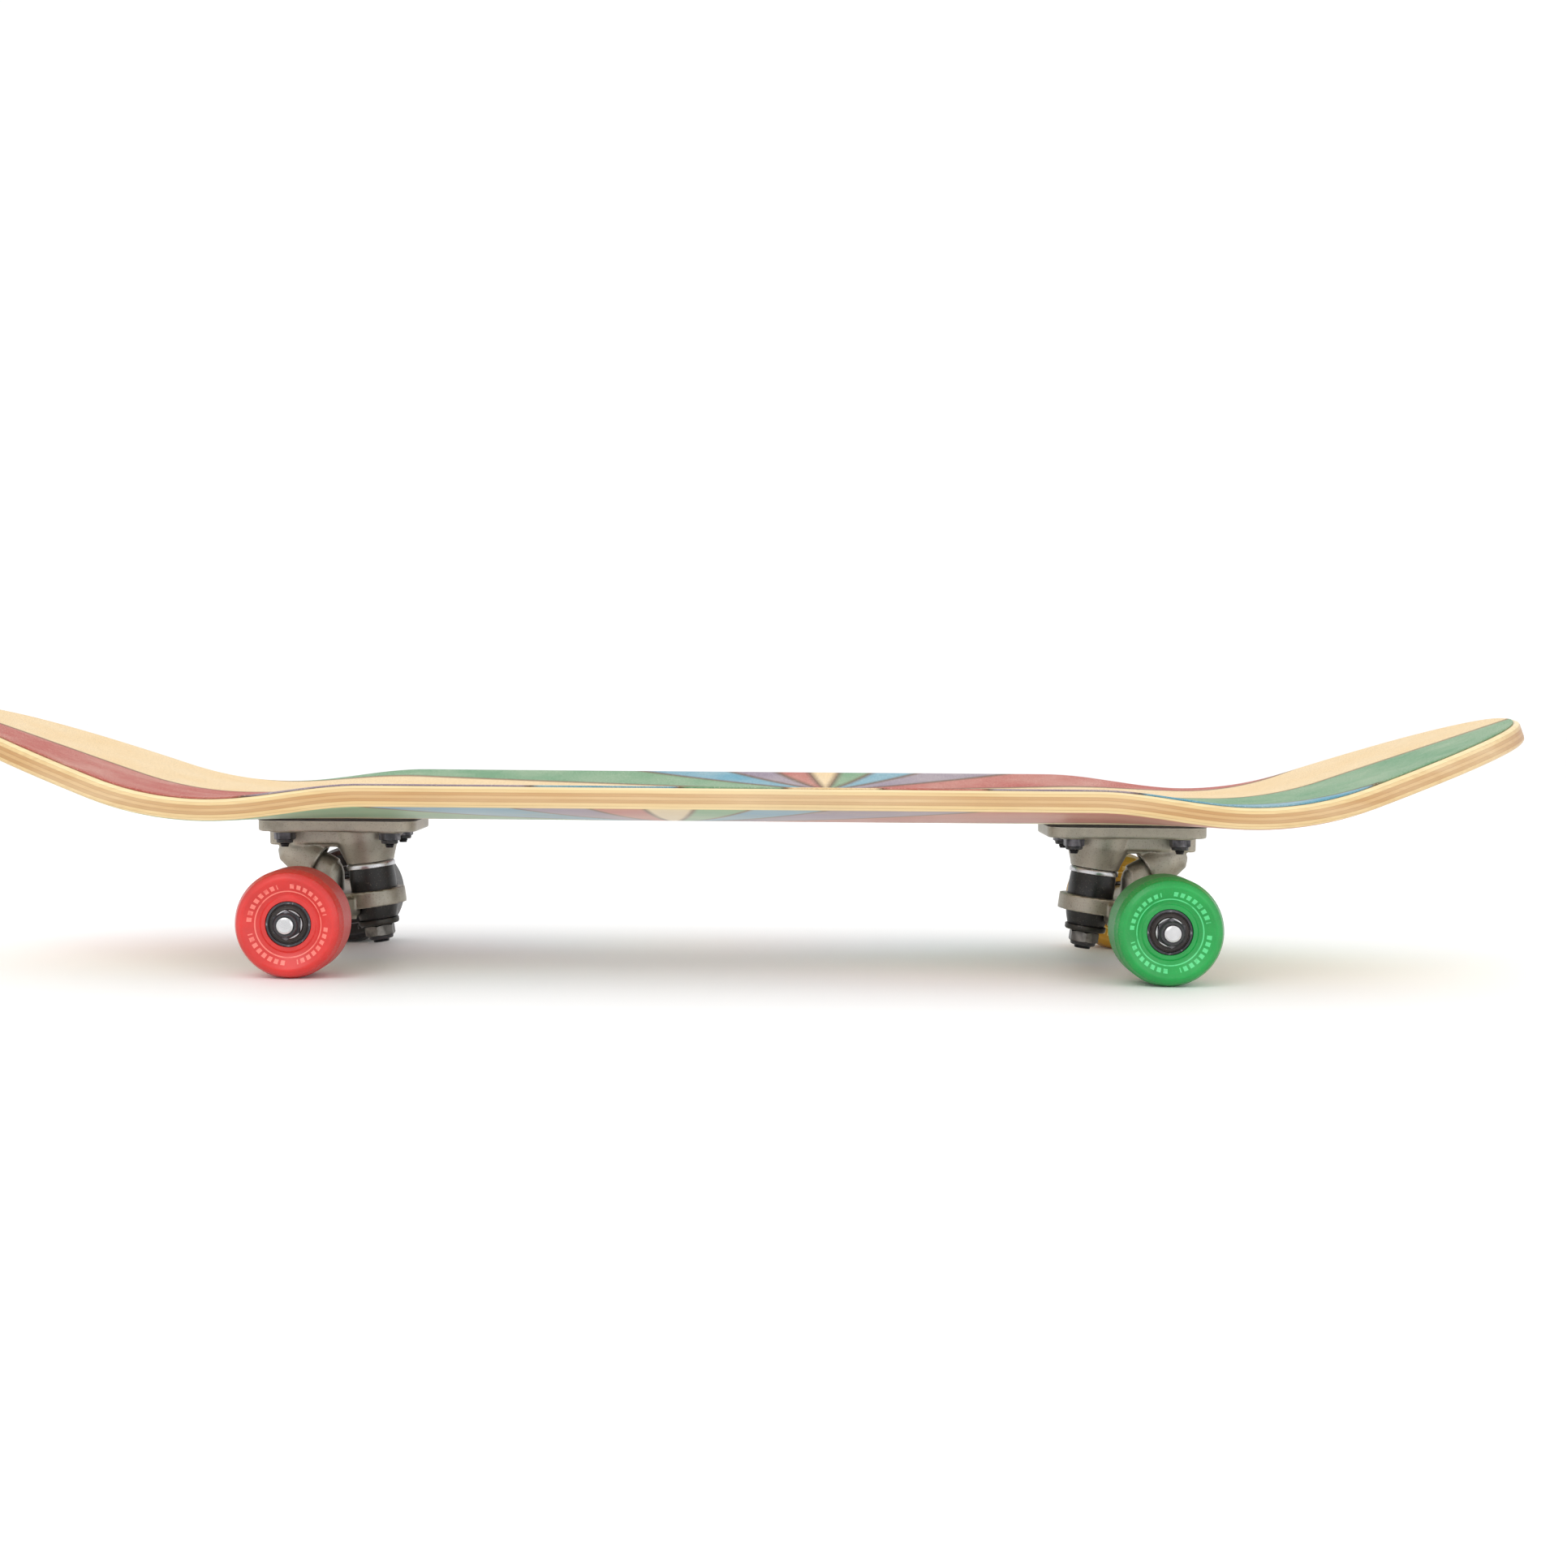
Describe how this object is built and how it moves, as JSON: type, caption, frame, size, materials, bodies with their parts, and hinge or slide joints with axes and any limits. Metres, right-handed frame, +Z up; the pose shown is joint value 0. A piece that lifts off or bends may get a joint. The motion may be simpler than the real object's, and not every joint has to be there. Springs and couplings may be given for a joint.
{
  "type": "skateboard",
  "caption": "Street skateboard with a kicked, concave maple deck on two steering trucks, each carrying urethane wheels on ball bearings.",
  "frame": {"origin": "on the ground under the middle of the board, at the bottom centre of its box", "axes": "+X along the board to its front, +Y to the rider's left, +Z up out of the deck's top"},
  "size_m": [0.8102, 0.2064, 0.1302],
  "materials": {
    "maple": "clear-lacquered maple plies, edges sanded",
    "printed_grip": "fine-grit grip sheet printed with coloured rays",
    "riser_plastic": "black moulded pad",
    "cast_aluminium": "raw cast aluminium, tumbled",
    "black_steel": "black oxide",
    "bright_steel": "zinc plated",
    "bushing_urethane": "black urethane",
    "pivot_urethane": "black urethane",
    "bearing_black": "black shields on steel rings",
    "wheel_red": "satin red urethane",
    "wheel_green": "satin green urethane",
    "wheel_black": "satin black urethane",
    "wheel_gold": "satin golden yellow urethane"
  },
  "bodies": {
    "board": {"deck": "maple", "grip_sheet": "printed_grip", "riser_pad_front": "riser_plastic", "baseplate_front": "cast_aluminium", "pivot_cup_front": "pivot_urethane", "kingpin_front": "black_steel", "kingpin_nut_front": "bright_steel", "bushing_upper_front": "bushing_urethane", "bushing_lower_front": "bushing_urethane", "washer_upper_front": "bright_steel", "washer_lower_front": "bright_steel", "deck_bolt_front_1": "black_steel", "lock_nut_front_1": "black_steel", "deck_bolt_front_2": "black_steel", "lock_nut_front_2": "black_steel", "deck_bolt_front_3": "black_steel", "lock_nut_front_3": "black_steel", "deck_bolt_front_4": "black_steel", "lock_nut_front_4": "black_steel", "riser_pad_rear": "riser_plastic", "baseplate_rear": "cast_aluminium", "pivot_cup_rear": "pivot_urethane", "kingpin_rear": "black_steel", "kingpin_nut_rear": "bright_steel", "bushing_upper_rear": "bushing_urethane", "bushing_lower_rear": "bushing_urethane", "washer_upper_rear": "bright_steel", "washer_lower_rear": "bright_steel", "deck_bolt_rear_1": "black_steel", "lock_nut_rear_1": "black_steel", "deck_bolt_rear_2": "black_steel", "lock_nut_rear_2": "black_steel", "deck_bolt_rear_3": "black_steel", "lock_nut_rear_3": "black_steel", "deck_bolt_rear_4": "black_steel", "lock_nut_rear_4": "black_steel"},
    "front_axle_unit": {"hanger_front": "cast_aluminium", "axle_front": "bright_steel", "axle_nut_front_left": "black_steel", "speed_washer_front_left": "bright_steel", "axle_nut_front_right": "black_steel", "speed_washer_front_right": "bright_steel"},
    "rear_axle_unit": {"hanger_rear": "cast_aluminium", "axle_rear": "bright_steel", "axle_nut_rear_left": "black_steel", "speed_washer_rear_left": "bright_steel", "axle_nut_rear_right": "black_steel", "speed_washer_rear_right": "bright_steel"},
    "front_left_wheel_unit": {"wheel_front_left": "wheel_gold", "bearing_front_left_inner": "bearing_black", "bearing_front_left_outer": "bearing_black"},
    "front_right_wheel_unit": {"wheel_front_right": "wheel_green", "bearing_front_right_inner": "bearing_black", "bearing_front_right_outer": "bearing_black"},
    "rear_left_wheel_unit": {"wheel_rear_left": "wheel_black", "bearing_rear_left_inner": "bearing_black", "bearing_rear_left_outer": "bearing_black"},
    "rear_right_wheel_unit": {"wheel_rear_right": "wheel_red", "bearing_rear_right_inner": "bearing_black", "bearing_rear_right_outer": "bearing_black"}
  },
  "joints": [
    {"name": "front_steer", "type": "hinge", "parent": "board", "child": "front_axle_unit", "pos_m": [0.186, 0, 0.0315], "axis": [0.8505, 0, 0.526], "range_deg": [-15, 15], "stiffness_Nm_per_rad": 60, "deforming": ["bushing_upper_front", "bushing_lower_front"]},
    {"name": "rear_steer", "type": "hinge", "parent": "board", "child": "rear_axle_unit", "pos_m": [-0.186, 0, 0.0315], "axis": [-0.8505, 0, 0.526], "range_deg": [-15, 15], "stiffness_Nm_per_rad": 60, "deforming": ["bushing_upper_rear", "bushing_lower_rear"]},
    {"name": "front_left_wheel_spin", "type": "hinge", "parent": "front_axle_unit", "child": "front_left_wheel_unit", "pos_m": [0.212, 0.07825, 0.0265], "axis": [0, 1, 0], "continuous": true},
    {"name": "front_right_wheel_spin", "type": "hinge", "parent": "front_axle_unit", "child": "front_right_wheel_unit", "pos_m": [0.212, -0.07825, 0.0265], "axis": [0, 1, 0], "continuous": true},
    {"name": "rear_left_wheel_spin", "type": "hinge", "parent": "rear_axle_unit", "child": "rear_left_wheel_unit", "pos_m": [-0.212, 0.07825, 0.0265], "axis": [0, 1, 0], "continuous": true},
    {"name": "rear_right_wheel_spin", "type": "hinge", "parent": "rear_axle_unit", "child": "rear_right_wheel_unit", "pos_m": [-0.212, -0.07825, 0.0265], "axis": [0, 1, 0], "continuous": true}
  ]
}
